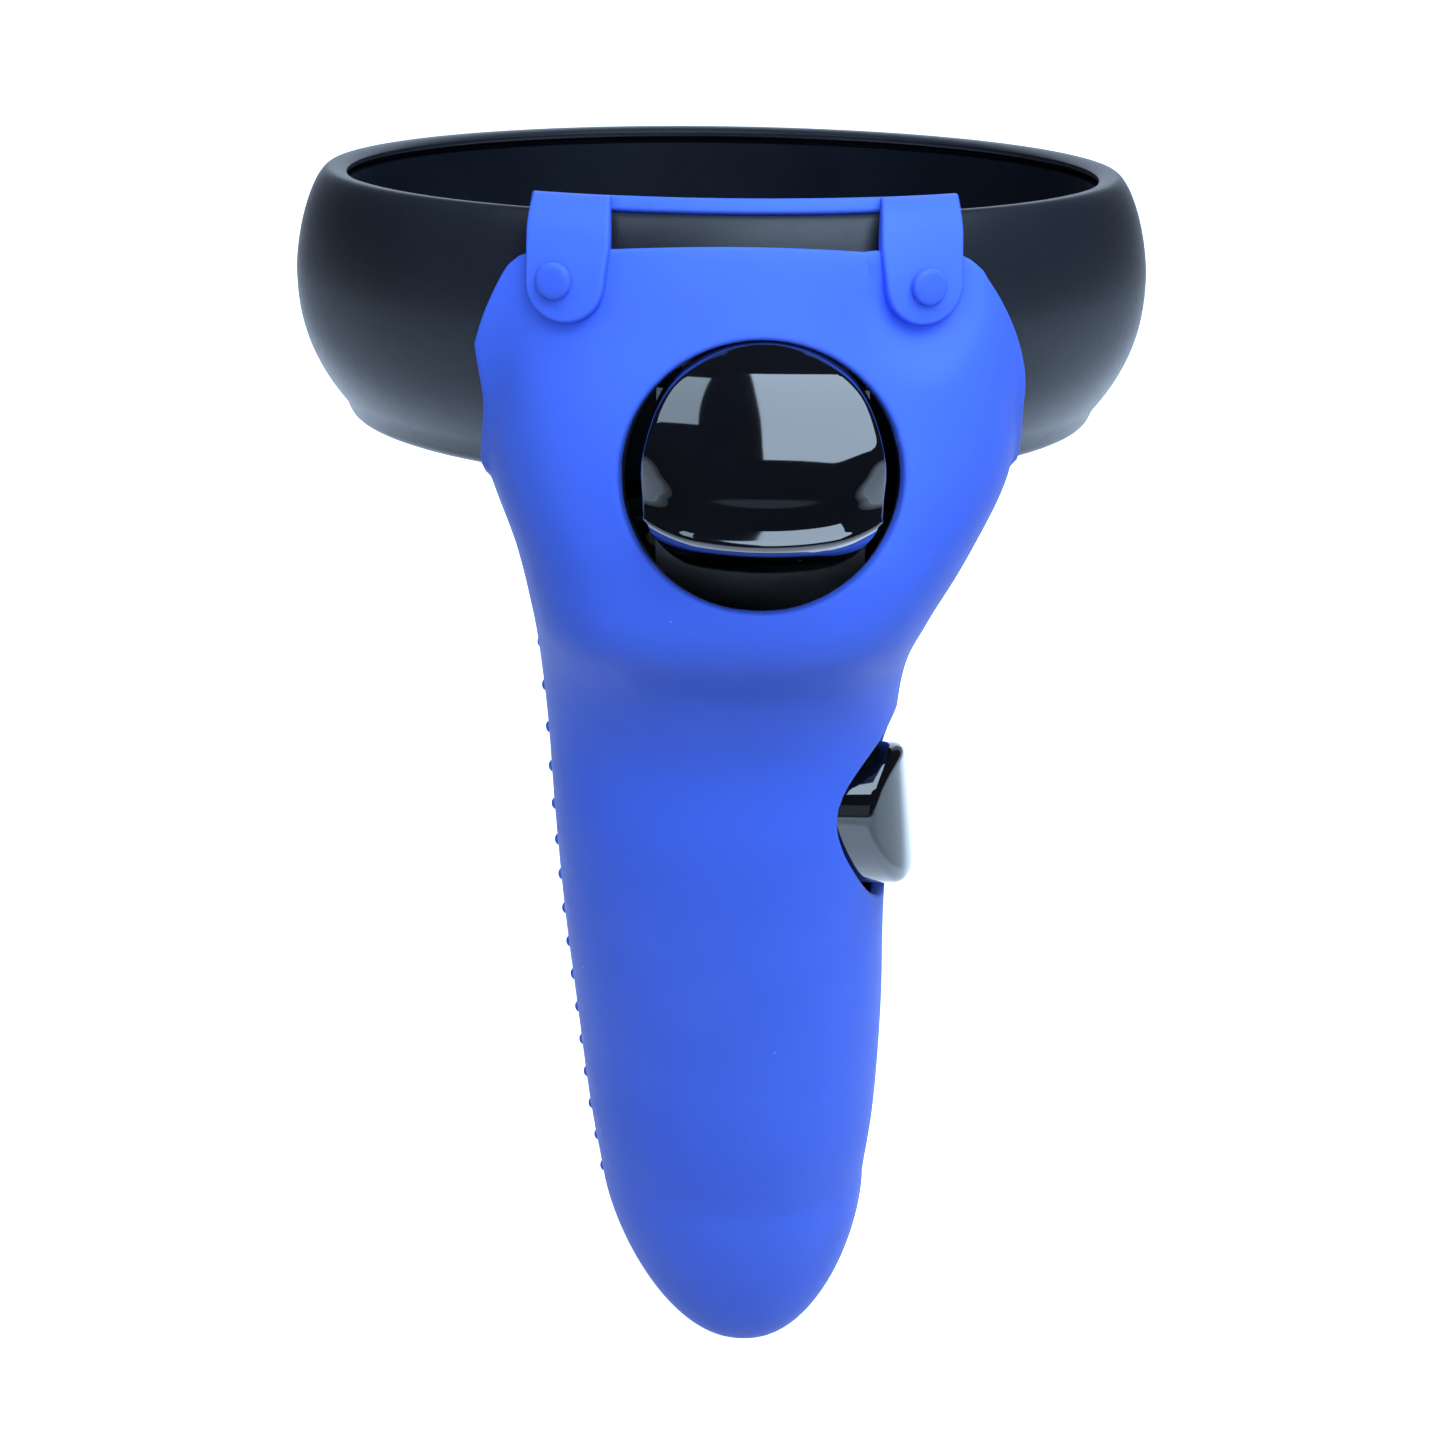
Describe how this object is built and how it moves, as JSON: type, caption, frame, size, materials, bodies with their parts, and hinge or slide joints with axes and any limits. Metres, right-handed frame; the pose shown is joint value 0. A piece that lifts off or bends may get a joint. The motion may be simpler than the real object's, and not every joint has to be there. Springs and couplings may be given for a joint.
{
  "type": "vr motion controller",
  "caption": "Right-hand motion controller: halo tracking ring over a thumb face, trigger, side grip button and battery handle in a buckled silicone sleeve.",
  "frame": {"origin": "centre of the halo ring at its widest line", "axes": "+Z is the ring's axis, away from the handle; -Y is the trigger side; +X is the grip button side"},
  "size_m": [0.094, 0.1084, 0.1442],
  "materials": {
    "ring_plastic": "satin",
    "ring_inside": "satin",
    "shell_plastic": "matte",
    "silicone": "matte",
    "face_plastic": "satin",
    "gloss_black": "gloss",
    "control_plastic": "satin",
    "stick_rubber": "matte",
    "membrane_silicone": "matte",
    "circuit_board": "satin",
    "flex_circuit": "satin",
    "led_lens": "gloss",
    "frame_alloy": "satin",
    "steel": "satin",
    "module_plastic": "matte",
    "pot_plastic": "matte",
    "nylon": "satin",
    "magnet_plate": "gloss",
    "sensor_epoxy": "matte",
    "cell_wrap": "gloss",
    "contact_metal": "satin"
  },
  "bodies": {
    "controller": {"ring_outer_shell": "ring_plastic", "ring_inner_shell": "ring_inside", "ring_led_strip": "flex_circuit", "tracking_leds": "led_lens", "front_shell": "shell_plastic", "rear_shell": "shell_plastic", "battery_door": "shell_plastic", "silicone_sleeve": "silicone", "lanyard_eye": "shell_plastic", "case_screws": "steel", "face_plate": "face_plastic", "button_membrane": "membrane_silicone", "main_board": "circuit_board", "chassis": "frame_alloy", "haptic_motor": "steel", "stick_housing": "module_plastic", "stick_spring": "steel", "stick_switch": "sensor_epoxy", "stick_pot_x": "pot_plastic", "stick_pot_y": "pot_plastic", "trigger_bracket": "frame_alloy", "trigger_pin": "steel", "trigger_spring": "steel", "trigger_sensor": "sensor_epoxy", "grip_bracket": "frame_alloy", "grip_pin": "steel", "grip_spring": "steel", "grip_sensor": "sensor_epoxy", "battery_cradle": "module_plastic", "battery_cell": "cell_wrap", "contact_plus": "contact_metal", "contact_spring": "contact_metal"},
    "trigger": {"trigger": "gloss_black", "trigger_magnet": "magnet_plate"},
    "grip": {"grip_button": "gloss_black", "grip_magnet": "magnet_plate"},
    "yoke_x": {"stick_yoke_x": "nylon"},
    "yoke_y": {"stick_yoke_y": "nylon"},
    "stick_pivot": {"stick_pivot": "nylon"},
    "stick": {"stick_shaft": "nylon", "stick_cap": "stick_rubber"},
    "button_a": {"button_a": "control_plastic"},
    "button_b": {"button_b": "control_plastic"},
    "system_button": {"system_button": "control_plastic"}
  },
  "joints": [
    {"name": "trigger_pull", "type": "hinge", "parent": "controller", "child": "trigger", "pos_m": [0.00435, -0.0443, -0.0032], "axis": [1, 0, 0], "range_deg": [0, 12], "stiffness_Nm_per_rad": 0.12, "springref_deg": -6.88, "deforming": ["trigger_spring"]},
    {"name": "grip_squeeze", "type": "hinge", "parent": "controller", "child": "grip", "pos_m": [0.0106, -0.0129, -0.058], "axis": [0, 0, -1], "range_deg": [0, 6], "stiffness_Nm_per_rad": 0.2, "springref_deg": -4.58, "deforming": ["grip_spring"]},
    {"name": "stick_tilt_x", "type": "hinge", "parent": "controller", "child": "yoke_x", "pos_m": [-0.0066, -0.01813, -0.02847], "axis": [1, 0, 0], "range_deg": [-15, 15], "stiffness_Nm_per_rad": 0.03},
    {"name": "stick_tilt_y", "type": "hinge", "parent": "yoke_x", "child": "stick_pivot", "pos_m": [-0.0066, -0.01813, -0.02847], "axis": [0, 0.9135, -0.4067], "range_deg": [-15, 15], "stiffness_Nm_per_rad": 0.03},
    {"name": "stick_press", "type": "slide", "parent": "stick_pivot", "child": "stick", "axis": [0, -0.4067, -0.9135], "range_m": [0, 0.0004], "stiffness_N_per_m": 600, "springref_m": -0.0005},
    {"name": "yoke_y_follow", "type": "hinge", "parent": "controller", "child": "yoke_y", "pos_m": [-0.0066, -0.01813, -0.02847], "axis": [0, 0.9135, -0.4067], "range_deg": [-15, 15]},
    {"name": "button_a_press", "type": "slide", "parent": "controller", "child": "button_a", "axis": [0, -0.4067, -0.9135], "range_m": [0, 0.001], "stiffness_N_per_m": 400, "springref_m": -0.0005, "deforming": ["button_membrane"]},
    {"name": "button_b_press", "type": "slide", "parent": "controller", "child": "button_b", "axis": [0, -0.4067, -0.9135], "range_m": [0, 0.001], "stiffness_N_per_m": 400, "springref_m": -0.0005, "deforming": ["button_membrane"]},
    {"name": "system_press", "type": "slide", "parent": "controller", "child": "system_button", "axis": [0, -0.4067, -0.9135], "range_m": [0, 0.0005], "stiffness_N_per_m": 400, "springref_m": -0.0005, "deforming": ["button_membrane"]}
  ],
  "couplings": [
    {"joint": "yoke_y_follow", "follows": "stick_tilt_y", "ratio": 1}
  ]
}
